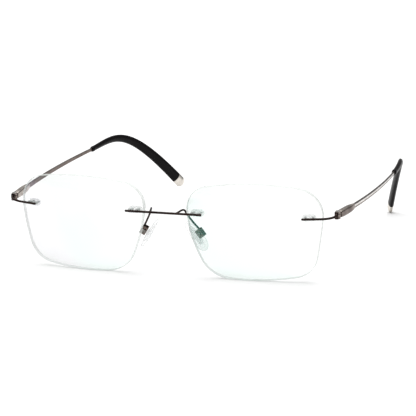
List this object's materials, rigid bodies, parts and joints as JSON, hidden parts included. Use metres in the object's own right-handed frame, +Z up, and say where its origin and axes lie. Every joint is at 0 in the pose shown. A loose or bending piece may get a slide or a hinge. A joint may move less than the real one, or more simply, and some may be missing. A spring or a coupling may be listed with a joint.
{
  "type": "eyeglasses",
  "caption": "Rimless eyeglasses with clear lenses on a slim bridge bar, silicone nose pads, sprung folding temples and bent tips with metal ends.",
  "frame": {"origin": "on the table, under the middle of the open glasses", "axes": "+X to the wearer's left, +Y back along the temples, +Z up; the lenses face -Y"},
  "size_m": [0.1368, 0.1314, 0.0372],
  "materials": {
    "lens": "polished, anti-reflection coated",
    "clear_plastic": "clear moulded",
    "silicone": "clear satin",
    "dark_metal": "dark gunmetal plating, satin",
    "case_metal": "brushed taupe",
    "temple_metal": "brushed, warm grey",
    "steel": "machined",
    "tip_black": "semi-gloss",
    "cap_metal": "polished champagne"
  },
  "bodies": {
    "front": {"bridge_bar": "dark_metal", "lens_left": "lens", "lens_right": "lens", "nasal_bushing_left": "clear_plastic", "nasal_bushing_right": "clear_plastic", "temporal_bushing_left": "clear_plastic", "temporal_bushing_right": "clear_plastic", "pad_arm_left": "dark_metal", "pad_arm_right": "dark_metal", "pad_box_left": "dark_metal", "pad_box_right": "dark_metal", "pad_screw_left": "steel", "pad_screw_right": "steel", "endpiece_left": "dark_metal", "endpiece_right": "dark_metal", "hinge_screw_left": "steel", "hinge_screw_right": "steel"},
    "nose_pad_left": {"nose_pad_left": "silicone", "pad_insert_left": "clear_plastic"},
    "hinge_slider_left": {"hinge_slider_left": "steel"},
    "temple_left": {"spring_case_left": "case_metal", "spring_bush_left": "steel", "hinge_spring_left": "steel", "temple_left": "temple_metal", "tip_sleeve_left": "tip_black", "tip_cap_left": "cap_metal"},
    "nose_pad_right": {"nose_pad_right": "silicone", "pad_insert_right": "clear_plastic"},
    "hinge_slider_right": {"hinge_slider_right": "steel"},
    "temple_right": {"spring_case_right": "case_metal", "spring_bush_right": "steel", "hinge_spring_right": "steel", "temple_right": "temple_metal", "tip_sleeve_right": "tip_black", "tip_cap_right": "cap_metal"}
  },
  "joints": [
    {"name": "fold_left", "type": "hinge", "parent": "front", "child": "hinge_slider_left", "pos_m": [0.0663, -0.05638, 0.0257], "axis": [0, 0.0244, 0.9997], "range_deg": [-8, 80]},
    {"name": "fold_right", "type": "hinge", "parent": "front", "child": "hinge_slider_right", "pos_m": [-0.0663, -0.05638, 0.0257], "axis": [0, 0.0244, -0.9997], "range_deg": [-8, 70]},
    {"name": "spring_left", "type": "slide", "parent": "hinge_slider_left", "child": "temple_left", "axis": [0.0797, 0.9965, 0.0257], "range_m": [0, 0.001], "stiffness_N_per_m": 800, "springref_m": -0.0015},
    {"name": "spring_right", "type": "slide", "parent": "hinge_slider_right", "child": "temple_right", "axis": [-0.0797, 0.994, 0.0743], "range_m": [0, 0.001], "stiffness_N_per_m": 800, "springref_m": -0.0015},
    {"name": "pad_rock_left", "type": "hinge", "parent": "front", "child": "nose_pad_left", "pos_m": [0.01144, -0.05651, 0.01576], "axis": [0.1154, 0.9721, 0.204], "range_deg": [-8, 8]},
    {"name": "pad_rock_right", "type": "hinge", "parent": "front", "child": "nose_pad_right", "pos_m": [-0.01144, -0.05651, 0.01576], "axis": [-0.1154, 0.9721, 0.204], "range_deg": [-8, 8]}
  ]
}
